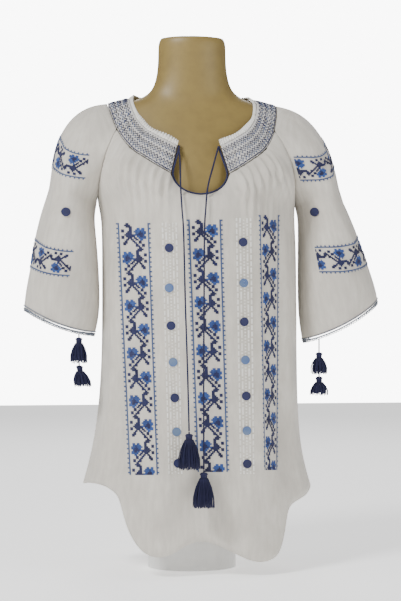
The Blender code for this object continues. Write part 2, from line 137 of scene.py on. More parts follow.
# Colours are linear; the cloth's are those of unbleached gauze in soft light
paint = {
    "skin": (0.245, 0.175, 0.052),
    "skinDeep": (0.19, 0.13, 0.042),
    "cloth": (0.69, 0.655, 0.585),
    # clothShade is painted shade, laid into the gauze's crinkle hollows and its random thin patches
    "clothShade": (0.53, 0.495, 0.435),
    "pleat": (0.70, 0.70, 0.72),
    "navy": (0.008, 0.010, 0.055),
    "navyWorn": (0.014, 0.022, 0.115),
    "blue": (0.032, 0.085, 0.30),
    "paleBlue": (0.115, 0.175, 0.29),
    "line": (0.045, 0.07, 0.18),
    "white": (0.86, 0.85, 0.81),
    "grey": (0.20, 0.22, 0.26),
    "cord": (0.006, 0.007, 0.042),
    "base": (0.8, 0.8, 0.78),
    "baseShade": (0.7, 0.7, 0.69),
    "floor": (0.9, 0.9, 0.9),
}


def newGroup(name, inputs, outputs):
    group = bpy.data.node_groups.new(name, "ShaderNodeTree")
    for label, kind, value in inputs:
        socket = group.interface.new_socket(name=label, in_out="INPUT", socket_type=kind)
        if value is not None:
            socket.default_value = value
    for label, kind in outputs:
        group.interface.new_socket(name=label, in_out="OUTPUT", socket_type=kind)
    return group, group.nodes.new("NodeGroupInput"), group.nodes.new("NodeGroupOutput")


def addNode(tree, kind, links=(), **settings):
    node = tree.nodes.new(kind)
    for key, value in settings.items():
        setattr(node, key, value)
    for socket, value in dict(links).items():
        if isinstance(value, bpy.types.NodeSocket):
            tree.links.new(value, node.inputs[socket])
        else:
            node.inputs[socket].default_value = value
    return node


def addMath(tree, operation, *values):
    return addNode(tree, "ShaderNodeMath", enumerate(values), operation=operation).outputs[0]


def mixColours(tree, share, first, second):
    # a Mix node's colours are its sockets 6 and 7, and its mixed colour is output 2
    return addNode(tree, "ShaderNodeMix", {"Factor": share, 6: first, 7: second}, data_type="RGBA").outputs[2]


# Gauze, measured on the cloth's cut
weave = {
    "pull": (160, 34, 1),  # crinkles to a metre, across the cloth and down it
    "detail": 4.0,
    "roughness": 0.6,
    "threadHeight": 0.12,
    "patches": 18.0,  # thin patches to a metre
    "patchDetail": 3.0,
    "allGapAndShade": 0.1,  # where the cloth is all gap colour and painted crease shade
    "noGapAndShade": 0.45,  # and where it keeps its own colour
}


def makeWeave():
    group, given, out = newGroup(
        "gauzeWeave",
        [("Vector", "NodeSocketVector", None), ("Threads", "NodeSocketFloat", 900.0),
         ("Crinkle", "NodeSocketFloat", 0.5), ("Colour", "NodeSocketColor", None),
         ("Gap And Crease Shade Colour", "NodeSocketColor", None)],
        [("Colour", "NodeSocketColor"), ("Height", "NodeSocketFloat")],
    )
    place = given.outputs["Vector"]
    axes = addNode(group, "ShaderNodeSeparateXYZ", {0: place})
    waves = []
    for axis in range(2):
        turns = addMath(group, "MULTIPLY", axes.outputs[axis], given.outputs["Threads"])
        radians = addMath(group, "MULTIPLY", turns, 2 * math.pi)
        waves.append(addMath(group, "ABSOLUTE", addMath(group, "SINE", radians)))
    threads = addMath(group, "MULTIPLY", *waves)
    pulled = addNode(group, "ShaderNodeMapping", {"Vector": place, "Scale": weave["pull"]})
    crinkle = addNode(group, "ShaderNodeTexNoise", {
        "Vector": pulled.outputs[0], "Scale": 1.0, "Detail": weave["detail"], "Roughness": weave["roughness"]})
    lifted = addMath(group, "MULTIPLY", crinkle.outputs["Fac"], given.outputs["Crinkle"])
    fine = addMath(group, "MULTIPLY", threads, weave["threadHeight"])
    height = addMath(group, "ADD", lifted, fine)
    patches = addNode(group, "ShaderNodeTexNoise", {
        "Vector": place, "Scale": weave["patches"], "Detail": weave["patchDetail"]})
    # painted shade: the cloth is darkened where the crinkle sinks, and in random thin patches, by mixing in the gap
    # colour
    creaseAndPatchMask = addMath(group, "MULTIPLY", crinkle.outputs["Fac"], patches.outputs["Fac"])
    share = addNode(group, "ShaderNodeMapRange", {0: creaseAndPatchMask, 1: weave["allGapAndShade"], 2: weave["noGapAndShade"]})
    colour = mixColours(group, share.outputs[0], given.outputs["Gap And Crease Shade Colour"], given.outputs["Colour"])
    group.links.new(colour, out.inputs["Colour"])
    group.links.new(height, out.inputs["Height"])
    return group


fibre = {
    "detail": 3.0,
    "roughness": 0.7,
    "patches": 60.0,  # worn patches to a metre
    "patchDetail": 2.0,
    "fresh": 0.35,
    "worn": 0.75,
    "most": 0.6,  # how far a worn patch goes over to the worn colour
}


def makeThread():
    group, given, out = newGroup(
        "threadFibre",
        [("Vector", "NodeSocketVector", None), ("Scale", "NodeSocketFloat", 900.0),
         ("Colour", "NodeSocketColor", None), ("Worn Colour", "NodeSocketColor", None)],
        [("Colour", "NodeSocketColor"), ("Height", "NodeSocketFloat")],
    )
    place = given.outputs["Vector"]
    noise = addNode(group, "ShaderNodeTexNoise", {
        "Vector": place, "Scale": given.outputs["Scale"], "Detail": fibre["detail"], "Roughness": fibre["roughness"]})
    patches = addNode(group, "ShaderNodeTexNoise", {
        "Vector": place, "Scale": fibre["patches"], "Detail": fibre["patchDetail"]})
    share = addNode(group, "ShaderNodeMapRange", {
        0: patches.outputs["Fac"], 1: fibre["fresh"], 2: fibre["worn"], 4: fibre["most"]})
    colour = mixColours(group, share.outputs[0], given.outputs["Colour"], given.outputs["Worn Colour"])
    group.links.new(colour, out.inputs["Colour"])
    group.links.new(noise.outputs["Fac"], out.inputs["Height"])
    return group


weaveGroup = makeWeave()
threadGroup = makeThread()


def newMaterial(name, roughness, sheen=0.0):
    material = bpy.data.materials.new(name)
    material.use_nodes = True
    shader = material.node_tree.nodes["Principled BSDF"]
    shader.inputs["Roughness"].default_value = roughness
    shader.inputs["Sheen Weight"].default_value = sheen
    shader.inputs["Sheen Roughness"].default_value = 0.5
    return material, material.node_tree, shader


def placeGroup(tree, shader, group, values, strength, depth):
    node = addNode(tree, "ShaderNodeGroup", node_tree=group)
    for label, value in values.items():
        if isinstance(value, bpy.types.NodeSocket):
            tree.links.new(value, node.inputs[label])
        else:
            node.inputs[label].default_value = (*value, 1.0) if isinstance(value, tuple) else value
    bump = addNode(tree, "ShaderNodeBump", {
        "Strength": strength, "Distance": depth, "Height": node.outputs["Height"]})
    tree.links.new(node.outputs["Colour"], shader.inputs["Base Color"])
    tree.links.new(bump.outputs[0], shader.inputs["Normal"])


def clothMaterial(name, colour, shade, crinkle, threads=900.0):
    material, tree, shader = newMaterial(name, roughness=0.85, sheen=0.25)
    place = addNode(tree, "ShaderNodeUVMap", uv_map="cut")
    # shade is painted shade for the gauze's crinkle hollows, and its colour in random thin patches
    values = {"Vector": place.outputs[0], "Threads": threads, "Crinkle": crinkle, "Colour": colour,
              "Gap And Crease Shade Colour": shade}
    placeGroup(tree, shader, weaveGroup, values, strength=0.35, depth=1.2 * mm)
    return material


def threadMaterial(name, colour, worn, scale=900.0, roughness=0.7, sheen=0.15):
    material, tree, shader = newMaterial(name, roughness, sheen)
    place = addNode(tree, "ShaderNodeTexCoord")
    values = {"Vector": place.outputs["Object"], "Scale": scale, "Colour": colour, "Worn Colour": worn}
    placeGroup(tree, shader, threadGroup, values, strength=0.4, depth=0.4 * mm)
    return material


def skinMaterial():
    material, tree, shader = newMaterial("formSkin", roughness=0.5)
    shader.inputs["Coat Weight"].default_value = 0.06
    shader.inputs["Coat Roughness"].default_value = 0.4
    place = addNode(tree, "ShaderNodeTexCoord")
    values = {"Vector": place.outputs["Object"], "Scale": 420.0, "Colour": paint["skin"],
              "Worn Colour": paint["skinDeep"]}
    placeGroup(tree, shader, threadGroup, values, strength=0.12, depth=0.3 * mm)
    return material


materials = {
    "gauze": clothMaterial("gauze", paint["cloth"], paint["clothShade"], 0.8),
    "pleats": clothMaterial("pleatedGauze", paint["pleat"], paint["clothShade"], 0.3, 1200.0),
    "navy": threadMaterial("navyThread", paint["navy"], paint["navyWorn"]),
    "blue": threadMaterial("blueThread", paint["blue"], paint["navy"]),
    "paleBlue": threadMaterial("paleBlueThread", paint["paleBlue"], paint["blue"]),
    "line": threadMaterial("borderThread", paint["line"], paint["paleBlue"]),
    "white": threadMaterial("whiteThread", paint["white"], paint["cloth"], sheen=0.3),
    "grey": threadMaterial("greyCrochet", paint["grey"], paint["paleBlue"]),
    "cord": threadMaterial("cordThread", paint["cord"], paint["navy"], roughness=0.85, sheen=0.03),
    "skin": skinMaterial(),
    "base": threadMaterial("basePlastic", paint["base"], paint["baseShade"], scale=300.0, roughness=0.5, sheen=0.0),
}
print("materials made")


def addPiece(name, mesh, materialNames, nodes=()):
    piece = bpy.data.objects.new(name, mesh)
    bpy.context.collection.objects.link(piece)
    for material in materialNames.split():
        mesh.materials.append(materials[material])
    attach(piece, "root")
    if nodes:
        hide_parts(*nodes)
    return piece


def finishMesh(bm, name, smooth=True):
    mesh = bpy.data.meshes.new(name)
    bm.to_mesh(mesh)
    bm.free()
    if smooth:
        mesh.shade_smooth()
    return mesh


def copyNode(node):
    bm = bmesh.new()
    bm.from_mesh(frame["nodes"][node].data)
    bmesh.ops.remove_doubles(bm, verts=bm.verts, dist=1e-5)
    bmesh.ops.join_triangles(bm, faces=bm.faces, angle_face_threshold=math.radians(60),
                             angle_shape_threshold=math.radians(180))
    return bm


def creaseRims(bm, wallReach):
    # a panel's open ends, the faces with edges as short as its wall is thick, keep their corners
    crease = bm.edges.layers.float.new("crease_edge")
    short = {edge for edge in bm.edges if edge.calc_length() < wallReach}
    rims = set()
    for face in bm.faces:
        least = 2 if len(face.edges) > 3 else 1
        if sum(edge in short for edge in face.edges) >= least:
            rims.add(face)
    for edge in bm.edges:
        if sum(face in rims for face in edge.link_faces) == 1:
            edge[crease] = 1.0


def applied(piece, levels):
    smooth = piece.modifiers.new("smooth", "SUBSURF")
    smooth.levels = smooth.render_levels = levels
    graph = bpy.context.evaluated_depsgraph_get()
    mesh = bpy.data.meshes.new_from_object(piece.evaluated_get(graph))
    piece.modifiers.clear()
    piece.data = mesh
    return mesh


# Each fold runs from one place on the cloth's cut to another: (u, v, u, v, width, depth, peak). All are millimetres,
# but for peak, the share of its length where the fold is deepest
def foldLift(places, folds):
    lift = np.zeros(len(places))
    for u0, v0, u1, v1, width, depth, peak in folds:
        start, along = np.array((u0, v0)), np.array((u1 - u0, v1 - v0))
        share = (places - start) @ along / (along @ along)
        near = start + np.clip(share, 0, 1)[:, None] * along
        gap = np.linalg.norm(places - near, axis=1)
        ease = np.clip(np.where(share < peak, share / peak, (1 - share) / (1 - peak)), 0, 1)
        lift += depth * ease * ease * (3 - 2 * ease) * np.exp(-((gap / width) ** 2))
    return lift


body = {
    "girth": 130.0,  # millimetres of cloth to a radian round the body
    "halfWide": 150.0,
    "halfDeep": 115.0,
    "rim": 2.2,  # edges shorter than this cross the gauze's wall
    "smooth": 2,
}


def bodyPlaces(points, behind):
    x, y, z = points.T
    turn = np.arctan2(x, y if behind else -y)
    outward = np.stack((x / body["halfWide"] ** 2, y / body["halfDeep"] ** 2, np.zeros(len(x))), axis=1)
    return np.stack((turn * body["girth"], z), axis=1), outward


sleeves = {
    "left": {"side": -1, "top": (-150, 0, 660), "low": (-197, 0, 370)},
    "right": {"side": 1, "top": (158, 0, 660), "low": (220, 0, 370)},
    "girth": 60.0,
}


def sleevePlaces(points, name):
    top, low = np.array(sleeves[name]["top"]), np.array(sleeves[name]["low"])
    axis = (low - top) / np.linalg.norm(low - top)
    down = (points - top) @ axis
    outward = points - top - down[:, None] * axis
    turn = np.arctan2(-outward[:, 1], outward[:, 0] * sleeves[name]["side"])
    return np.stack((turn * sleeves["girth"], top[2] - down), axis=1), outward


def clothPiece(name, node, placing, folds):
    bm = copyNode(node)
    creaseRims(bm, body["rim"] * mm)
    piece = addPiece(name, finishMesh(bm, name), "gauze", [node])
    mesh = applied(piece, body["smooth"])
    points = np.empty(3 * len(mesh.vertices))
    mesh.vertices.foreach_get("co", points)
    points = points.reshape(-1, 3) / mm
    places, outward = placing(points)
    outward /= np.maximum(np.linalg.norm(outward, axis=1), 1e-6)[:, None]
    points += outward * foldLift(places, folds)[:, None]
    mesh.vertices.foreach_set("co", (points * mm).ravel())
    corners = np.empty(len(mesh.loops), dtype=np.int32)
    mesh.loops.foreach_get("vertex_index", corners)
    for layer in list(mesh.uv_layers):
        mesh.uv_layers.remove(layer)
    cut = mesh.uv_layers.new(name="cut")
    cut.data.foreach_set("uv", (places[corners] * mm).astype(np.float32).ravel())
    mesh.shade_smooth()
    mesh.update()
    print(name, "sewn,", len(mesh.polygons), "faces")
    return piece


# Small folds between the drawn ones, laid at random
small = {
    "length": (90, 260),
    "sway": 12,
    "width": (3, 7),
    "depth": (0.3, 1),  # against the deepest
    "peak": 0.5,
}


def fineFolds(count, reach, top, low, depth):
    folds = []
    for _ in range(count):
        u = dice.uniform(-reach, reach)
        start = dice.uniform(mix(low, top, 0.5), top)
        end = max(low, start - dice.uniform(*small["length"]))
        sway = dice.uniform(-small["sway"], small["sway"])
        width = dice.uniform(*small["width"])
        folds.append((u, start, u + sway, end, width, dice.uniform(*small["depth"]) * depth, small["peak"]))
    return folds


frontFolds = [
    (-118, 640, -124, 500, 3.4, 6.0, 0.3),
    (-108, 630, -113, 470, 3.4, 6.0, 0.3),
    (-97, 620, -100, 490, 3.4, 6.0, 0.3),
    (-86, 612, -89, 480, 3.4, 6.0, 0.3),
    (-75, 606, -77, 500, 3.4, 6.0, 0.3),
    (-64, 600, -66, 500, 3.4, 6.0, 0.3),
    (-53, 594, -54, 510, 3.4, 5.5, 0.3),
    (66, 600, 68, 500, 3.4, 6.0, 0.3),
    (77, 606, 80, 490, 3.4, 6.0, 0.3),
    (88, 612, 91, 480, 3.4, 6.0, 0.3),
    (99, 620, 104, 490, 3.4, 6.0, 0.3),
    (109, 630, 115, 470, 3.4, 6.0, 0.3),
    (118, 640, 126, 480, 3.4, 6.0, 0.3),
    (-40, 556, -74, 530, 5, 2.5, 0.5),
    (46, 560, 74, 548, 4, 2.5, 0.5),
    (-134, 560, -146, 300, 9, 5.0, 0.4),
    (134, 560, 146, 280, 9, 5.5, 0.4),
    (-150, 480, -158, 160, 12, 5.0, 0.6),
    (-128, 420, -120, 60, 9, -4.0, 0.6),
    (150, 470, 156, 150, 12, 5.0, 0.6),
    (132, 420, 128, 60, 9, -4.0, 0.6),
    (-60, 200, -66, 10, 14, 4.0, 0.7),
    (70, 200, 76, 10, 14, 4.0, 0.7),
]
backFolds = [
    (-110, 640, -118, 420, 5, 3.0, 0.3),
    (-80, 648, -86, 430, 5, 3.0, 0.3),
    (-52, 652, -55, 420, 5, 3.2, 0.3),
    (-26, 654, -27, 400, 5, 3.0, 0.3),
    (26, 654, 27, 400, 5, 3.0, 0.3),
    (52, 652, 55, 420, 5, 3.2, 0.3),
    (80, 648, 86, 430, 5, 3.0, 0.3),
    (110, 640, 118, 420, 5, 3.0, 0.3),
    (-60, 300, -64, 10, 16, 4.0, 0.7),
    (64, 300, 66, 10, 16, 4.0, 0.7),
]
sleeveFolds = [
    (20, 650, 60, 470, 7, 2.5, 0.4),
    (50, 640, 80, 520, 6, 2.2, 0.4),
    (-10, 600, 20, 400, 9, 2.5, 0.5),
    (90, 560, 40, 430, 9, 2.8, 0.5),
    (110, 500, 60, 380, 10, 2.5, 0.5),
    (-60, 640, -80, 470, 7, 2.5, 0.4),
    (-90, 560, -40, 430, 9, 2.8, 0.5),
    (-110, 500, -60, 380, 10, 2.5, 0.5),
]
cloth = {
    "front": clothPiece("frontGauze", "front_panel", lambda p: bodyPlaces(p, False),
                        frontFolds + fineFolds(40, 190, 600, 20, 1.2)),
    "back": clothPiece("backGauze", "back_panel", lambda p: bodyPlaces(p, True),
                       backFolds + fineFolds(40, 190, 640, 20, 1.2)),
    "left": clothPiece("leftSleeveGauze", "left_sleeve", lambda p: sleevePlaces(p, "left"),
                       sleeveFolds + fineFolds(24, 150, 640, 370, 1.0)),
    "right": clothPiece("rightSleeveGauze", "right_sleeve", lambda p: sleevePlaces(p, "right"),
                        sleeveFolds + fineFolds(24, 150, 640, 370, 1.0)),
}


form = {
    "sharp": 55,  # degrees past which an edge of the form is kept crisp
    "crisp": 0.6,
    "smooth": 2,
}


def makeForm():
    bm = copyNode("dress_form")
    crease = bm.edges.layers.float.new("crease_edge")
    for edge in bm.edges:
        if edge.calc_face_angle(0) > math.radians(form["sharp"]):
            edge[crease] = form["crisp"]
    piece = addPiece("formShell", finishMesh(bm, "formShell"), "skin", ["dress_form"])
    applied(piece, form["smooth"]).shade_smooth()
    foot = frame["nodes"]["form_base"]
    foot.material_slots[0].material = materials["base"]


makeForm()
print("form made")


def spline(points, position):
    last = len(points) - 1
    index = min(max(int(position), 0), last - 1)
    t = position - index
    a, b, c, d = (Vector(points[min(max(index + k, 0), last)]) for k in (-1, 0, 1, 2))
    return 0.5 * (2 * b + (c - a) * t + (2 * a - 5 * b + 4 * c - d) * t * t + (3 * b - a - 3 * c + d) * t**3)


def twistedCord(name, points, radius, lobes, pitch, material, nodes=()):
    # rings of a lobed outline, each turned a little further round the line
    bm = bmesh.new()
    ring = bmesh.ops.create_circle(bm, segments=3 * lobes, radius=radius, cap_ends=True)["verts"]
    shape = [Vector((vert.co.x, vert.co.y, 0)) * (1.0 if index % 3 else ties["valley"])
             for index, vert in enumerate(ring)]
    edges = bm.edges[:]
    travelled = 0.0
    across = Vector((1, 0, 0))
    for index, spot in enumerate(points):
        before, after = points[max(index - 1, 0)], points[min(index + 1, len(points) - 1)]
        along = (after - before).normalized()
        across = (across - along * across.dot(along)).normalized()
        beside = along.cross(across)
        travelled += (spot - points[index - 1]).length if index else 0.0
        if index:
            made = bmesh.ops.extrude_edge_only(bm, edges=edges)["geom"]
            ring = [item for item in made if isinstance(item, bmesh.types.BMVert)]
            edges = [item for item in made if isinstance(item, bmesh.types.BMEdge)]
        turn = 2 * math.pi * travelled / pitch
        for vert, flat in zip(ring, shape):
            x = flat.x * math.cos(turn) - flat.y * math.sin(turn)
            y = flat.x * math.sin(turn) + flat.y * math.cos(turn)
            vert.co = spot + across * x + beside * y
    bmesh.ops.contextual_create(bm, geom=edges)
    bmesh.ops.recalc_face_normals(bm, faces=bm.faces)
    return addPiece(name, finishMesh(bm, name), material, nodes)


def evenPoints(points, step):
    # points a step apart along a line
    line = [points[0].copy()]
    left = step
    for before, after in zip(points, points[1:]):
        length = (after - before).length
        place = left
        while place <= length:
            line.append(before.lerp(after, place / length))
            place += step
        left = place - length
    if (points[-1] - line[-1]).length > step * 0.3:
        line.append(points[-1].copy())
    return line


# Tiers, in millimetres: how far below the top each head starts and its strands end, and how far these spread
tassels = {
    "sides": 3,
    "thread": 0.7,
    "sway": 0.8,
    "bulge": 0.2,  # against the spread
    "turnsRound": 4,
    "angle": 2.39996,  # from one strand to the next, so that they stand evenly
    "leanFrom": 0.044,  # metres down to where a leaning tassel starts to lean, and from there to its whole lean
    "leanOver": 0.035,
    "tie": [(3, 55, 17)],
    "left": [(5, 44, 14), (46, 79, 14)],
    "right": [(20, 54, 14), (56, 85, 15)],
}


def addStrand(bm, start, tip, side, bulge):
    radius = tassels["thread"] * mm
    ring = bmesh.ops.create_circle(bm, segments=tassels["sides"], radius=radius, cap_ends=True)["verts"]
    bmesh.ops.translate(bm, verts=ring, vec=start)
    face = list({face for vert in ring for face in vert.link_faces})
    sway = Vector((dice.uniform(-1, 1), dice.uniform(-1, 1), 0)) * tassels["sway"] * mm
    before = start
    for step in (0.3, 0.65, 1.0):
        moved = bmesh.ops.extrude_face_region(bm, geom=face)["geom"]
        bmesh.ops.delete(bm, geom=face, context="FACES_ONLY")
        face = [item for item in moved if isinstance(item, bmesh.types.BMFace)]
        spot = start.lerp(tip, step) + (sway + side * bulge) * math.sin(math.pi * step)
        bmesh.ops.translate(bm, verts=face[0].verts, vec=spot - before)
        before = spot


def makeTassel(name, node, tiers, strands, lean=0.0):
    low, high = (Vector(corner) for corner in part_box(node))
    bm = bmesh.new()
    begin = 0
    for depth, ends, spread in tiers:
        head = 0.16 * spread + 3.2
        # the cord, the bound head and a core for the strands are one turned shape
        outline = [(0, begin), (1.1, begin), (1.1, depth), (head * 0.7, depth + 0.6), (head, depth + 2.4),
                   (head * 0.9, depth + 4), (head * 0.74, depth + 5.2), (head * 0.74, depth + 8),
                   (head * 1.2, depth + 11), (spread * 0.55, ends - 10), (spread * 0.5, ends - 5), (0, ends - 5)]
        verts = [bm.verts.new(metres(x, 0, -down)) for x, down in outline]
        edges = [bm.edges.new(pair) for pair in zip(verts, verts[1:])]
        turned = {"cent": (0, 0, 0), "axis": (0, 0, 1), "angle": 2 * math.pi, "use_merge": True}
        bmesh.ops.spin(bm, geom=verts + edges, steps=12, **turned)
        for turn in range(tassels["turnsRound"]):  # thread wound round the neck
            made = bmesh.ops.create_circle(bm, segments=5, radius=0.5 * mm)["verts"]
            bmesh.ops.rotate(bm, verts=made, cent=(0, 0, 0), matrix=Matrix.Rotation(math.pi / 2, 3, "X"))
            bmesh.ops.translate(bm, verts=made, vec=metres(head * 0.76, 0, -(depth + 5.3 + 0.8 * turn)))
            rim = list({edge for vert in made for edge in vert.link_edges})
            bmesh.ops.spin(bm, geom=made + rim, steps=14, **turned)
        for strand in range(strands):
            turn = strand * tassels["angle"]
            reach = 0.45 + 0.55 * math.sqrt((strand + 0.5) / strands)
            side = Vector((math.cos(turn), math.sin(turn), 0))
            start = side * head * reach * mm + metres(0, 0, -(depth + 8.5))
            tip = side * spread * reach * dice.uniform(0.82, 0.95) * mm
            tip.z = (dice.uniform(0.5, 4.5) - ends) * mm
            addStrand(bm, start, tip, side, spread * tassels["bulge"] * reach * mm)
        begin = depth + 9
    bmesh.ops.remove_doubles(bm, verts=bm.verts, dist=1e-6)
    bmesh.ops.recalc_face_normals(bm, faces=bm.faces)
    for vert in bm.verts:
        vert.co.x += lean * max(0, -vert.co.z - tassels["leanFrom"]) / tassels["leanOver"]
    bmesh.ops.translate(bm, verts=bm.verts, vec=Vector(((low.x + high.x) / 2, (low.y + high.y) / 2, high.z)))
    return addPiece(name, finishMesh(bm, name), "cord", [node])


def makeTies():
    for name in ("left", "right"):
        route = ties[name]
        last = len(route) - 1
        path = [spline(route, last * step / ties["steps"]) * mm for step in range(ties["steps"] + 1)]
        radius = ties["diameter"] / 2
        line = evenPoints(path, 1.2 * mm)
        cordPiece = twistedCord(name + "Tie", line, radius, ties["strands"], ties["pitch"] * mm, "cord",
                                ["tie_" + name])
        tassel = makeTassel(name + "TieTassel", "tie_tassel_" + name, tassels["tie"], 80)


makeTies()
makeTassel("leftCuffTassels", "left_cuff_tassels", tassels["left"], 45, 6 * mm)
makeTassel("rightCuffTassels", "right_cuff_tassels", tassels["right"], 45)
print("tassels hung")


def surfaceOf(piece):
    # a search tree of the piece's finished surface
    return BVHTree.FromObject(piece, bpy.context.evaluated_depsgraph_get())


def castOn(tree, start, direction, lift):
    # the point that stands lift clear of where a ray meets the surface, or None where it misses
    spot, normal, _, _ = tree.ray_cast(start, direction)
    return None if spot is None else spot + normal * lift


# The smocked band, by stations from the keyhole's corner round to the centre back: its top and its low edge
band = {
    "stations": [
        ((31, -82, 624), (43, -97, 581)),
        ((54, -75, 636), (74, -91, 600)),
        ((74, -61, 649), (100, -74, 620)),
        ((88, -40, 669), (117, -48, 649)),
        ((93, 0, 697), (127, 0, 690)),
        ((83, 38, 702), (112, 52, 671)),
        ((50, 64, 697), (64, 86, 656)),
        ((0, 70, 695), (0, 96, 650)),
    ],
    "feeler": 3.1,  # a point this far off the band shows which way is out
    "ends": 0.004,  # how far short of the keyhole each row stops, against the way round
    "drop": 12,  # threads are dropped on the band from here
    "seat": 0.3,  # how far a thread's middle stands off the cloth
    # each row of smocking: how far down the band it runs, how far it swings, and its thread
    "rows": [(0.18, 0.055, "navy"), (0.29, 0.055, "line"), (0.45, 0.055, "navy"), (0.56, 0.055, "line"),
             (0.71, 0.055, "navy"), (0.82, 0.055, "line"), (0.955, 0.04, "navy")],
    "zigzags": 92,
    "thread": 1.1,
    "rim": 2.4,
}


def bandPoint(place, share, lift):
    # place runs from 0 at the right of the keyhole round the neck to 1 at its left
    stations = band["stations"]
    half = len(stations) - 1
    position = place * 2 * half
    side = 1 if position <= half else -1
    position = position if position <= half else 2 * half - position
    tops, lows = [s[0] for s in stations], [s[1] for s in stations]

    def onBand(where, down):
        spot = spline(tops, where).lerp(spline(lows, where), down)
        return Vector((spot.x * side, spot.y, spot.z))

    nudge = 0.02
    first, second = max(position - nudge, 0), min(position + nudge, half)
    along = (onBand(second, share) - onBand(first, share)) * side
    down = onBand(position, min(share + 0.05, 1)) - onBand(position, share - 0.05)
    out = down.cross(along).normalized()
    spot = onBand(position, share)
    if out.dot(Vector((spot.x, spot.y, 80))) < 0:
        out = -out
    return (spot + out * lift) * mm


def makeBand():
    bm = copyNode("neck_band")
    creaseRims(bm, band["rim"] * mm)
    piece = addPiece("smockedBand", finishMesh(bm, "smockedBand"), "pleats", ["neck_band"])
    mesh = applied(piece, 1)
    for layer in list(mesh.uv_layers):
        mesh.uv_layers.remove(layer)
    cut = mesh.uv_layers.new(name="cut")
    for loop in mesh.loops:
        spot = mesh.vertices[loop.vertex_index].co
        cut.data[loop.index].uv = (math.atan2(spot.x, -spot.y) * 0.1, spot.z)
    mesh.shade_smooth()
    return piece


bandPiece = makeBand()
bandTree = surfaceOf(bandPiece)
formTree = surfaceOf(bpy.data.objects["formShell"])
frontTree = surfaceOf(cloth["front"])


def restOn(tree, spot, lift):
    near, normal, _, _ = tree.find_nearest(spot)
    return near + normal * lift


def keepOff(tree, spot, gap):
    near, normal, _, _ = tree.find_nearest(spot)
    return near + normal * gap if (spot - near).dot(normal) < gap else spot


def smockRow(number, down, swing, thread):
    count = 2 * band["zigzags"]
    seat = band["seat"] * mm
    points = []
    for step in range(count + 1):
        place = band["ends"] + (1 - 2 * band["ends"]) * step / count
        share = min(down + swing * (1 if step % 2 else -1), 0.99)
        base = bandPoint(place, share, 0)
        out = (bandPoint(place, share, band["feeler"]) - base).normalized()
        start = keepOff(formTree, base, 0.8 * mm) + out * band["drop"] * mm
        spot, normal, _, _ = bandTree.ray_cast(start, -out, 0.03)
        points.append(restOn(bandTree, start, seat) if spot is None else spot + normal * seat)
    return twistedCord(f"smockRow{number}", points, band["thread"] * mm, 1, 3 * mm, thread)


frill = {
    "high": 0.17,  # against the band's height
    "foot": 0.03,  # how far down the band it is sewn on
    "waves": 92,
    "off": 1.9,  # its middle stands this far off the band
    "footSwing": 0.4,
    "lipSwing": 1.3,  # this much more at its lip
    "clear": 1.2,  # of the form
    "thick": 0.5,
}


def makeFrill():
    bm = bmesh.new()
    bmesh.ops.create_grid(bm, x_segments=6 * frill["waves"], y_segments=3, size=1)
    for vert in bm.verts:
        place, rise = (vert.co.x + 1) / 2, (vert.co.y + 1) / 2
        wave = math.sin(2 * math.pi * frill["waves"] * place + 2 * math.sin(31 * place))
        lift = frill["off"] + (frill["footSwing"] + frill["lipSwing"] * rise) * wave
        high = frill["high"] * (0.85 + 0.15 * math.sin(47 * place + 1))  # its lip is uneven
        spot = bandPoint(place, frill["foot"] - (high + frill["foot"]) * rise, lift)
        vert.co = keepOff(formTree, spot, frill["clear"] * mm)
    piece = addPiece("neckFrill", finishMesh(bm, "neckFrill"), "white")
    thick = piece.modifiers.new("thick", "SOLIDIFY")
    thick.thickness, thick.offset = frill["thick"] * mm, 0
    return piece


bandTrim = [smockRow(number, *row) for number, row in enumerate(band["rows"])] + [makeFrill()]
print("band smocked")

keyhole = {
    "depth": 32,
    "halfWide": 42,
    "slope": 0.3,  # how far forward it falls for each millimetre down
    "middle": (0, -88, 606),
    "off": 2.9,  # the edging's middle line stands this far inside the cloth's edge
    "clear": 2.3,  # of the form
    "crochet": 1.5,
    "arches": (0.6, 1.8),  # how far off the edging the scallops start, and how far they reach
    "whiteArches": (1.6, 2.2),
    "low": 42.5,  # white scallops follow only the edge that is this near to the middle
    "thread": 1.0,
    "white": 0.75,
    "scallop": 3.6,
}


def keyholeLine():
    tops, lows = [s[0] for s in band["stations"]], [s[1] for s in band["stations"]]
    corner = Vector(lows[0])
    border = [Vector(tops[0]).lerp(corner, step / 5) for step in range(5)]
    border = [Vector((-spot.x, spot.y, spot.z)) for spot in border]
    for step in range(33):
        turn = math.pi / 2 * (step / 16 - 1)
        drop = keyhole["depth"] * math.cos(turn)
        side = keyhole["halfWide"] * math.sin(turn)
        border.append(Vector((side, corner.y - keyhole["slope"] * drop, corner.z - drop)))
    border += [Vector((-spot.x, spot.y, spot.z)) for spot in reversed(border[:5])]
    return [spot * mm for spot in border]


def scallops(line, step, reach, width, away, lift, tree):
    # a line of small arches beside another line, on the side that away gives
    points = []
    for index, spot in enumerate(evenPoints(line, step / 4)):
        arch = abs(math.sin(math.pi * index / 4))
        points.append(keepOff(tree, spot + away(spot) * (reach + width * arch), lift))
    return points


def makeKeyholeEdge():
    middle = metres(*keyhole["middle"])

    def away(spot):
        return (spot - middle).normalized()

    border = keyholeLine()
    inner = [keepOff(formTree, spot - away(spot) * keyhole["off"] * mm, keyhole["clear"] * mm) for spot in border]
    twistedCord("keyholeCrochet", evenPoints(inner, 1.2 * mm), keyhole["crochet"] * mm, 3, 5 * mm, "navy",
                ["keyhole_edging"])
    step = keyhole["scallop"] * mm
    reach, width = keyhole["arches"]
    arches = scallops(inner, step, reach * mm, width * mm, away, 0.7 * mm, frontTree)
    twistedCord("keyholeScallops", arches, keyhole["thread"] * mm, 1, 3 * mm, "navy")
    low = [spot for spot in border if abs(spot.x) < keyhole["low"] * mm]
    reach, width = keyhole["whiteArches"]
    outer = scallops(low, step, reach * mm, width * mm, away, 0.9 * mm, frontTree)
    twistedCord("keyholeWhiteScallops", outer, keyhole["white"] * mm, 1, 3 * mm, "white")


makeKeyholeEdge()
print("keyhole edged")

